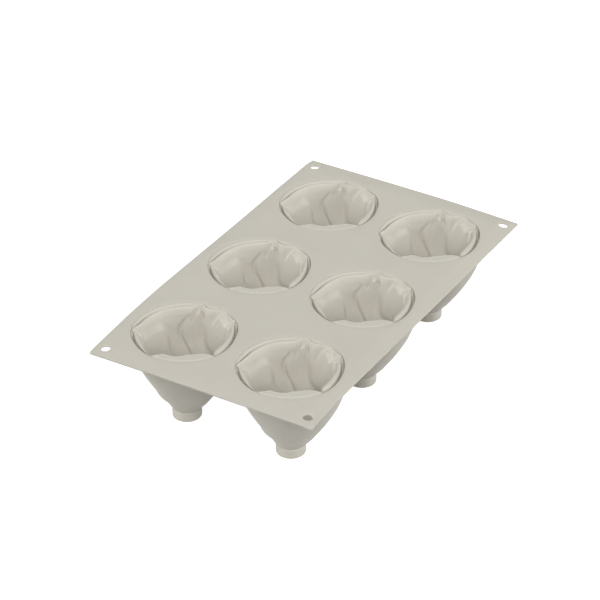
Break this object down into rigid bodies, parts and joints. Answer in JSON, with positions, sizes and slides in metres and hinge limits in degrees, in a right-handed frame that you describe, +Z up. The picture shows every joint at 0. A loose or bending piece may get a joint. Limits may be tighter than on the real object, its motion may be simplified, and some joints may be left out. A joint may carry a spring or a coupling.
{
  "type": "silicone cake mould",
  "caption": "Flat silicone sheet with a grid of deep rose-shaped cups for cakes and desserts, each cup on a short round foot, and a hang hole in each corner.",
  "frame": {"origin": "on the plane that the foot collars stand on, under the middle of the sheet", "axes": "+X along the sheet's long side, +Y along its short side, +Z up out of the cups' mouths"},
  "size_m": [0.3, 0.175, 0.0685],
  "materials": {
    "silicone": "satin, warm light grey, one colour all through"
  },
  "bodies": {
    "root": {"top_sheet": "silicone", "rose_cup_1": "silicone", "rose_cup_2": "silicone", "rose_cup_3": "silicone", "rose_cup_4": "silicone", "rose_cup_5": "silicone", "rose_cup_6": "silicone", "foot_collar_1": "silicone", "foot_collar_2": "silicone", "foot_collar_3": "silicone", "foot_collar_4": "silicone", "foot_collar_5": "silicone", "foot_collar_6": "silicone"}
  },
  "joints": []
}
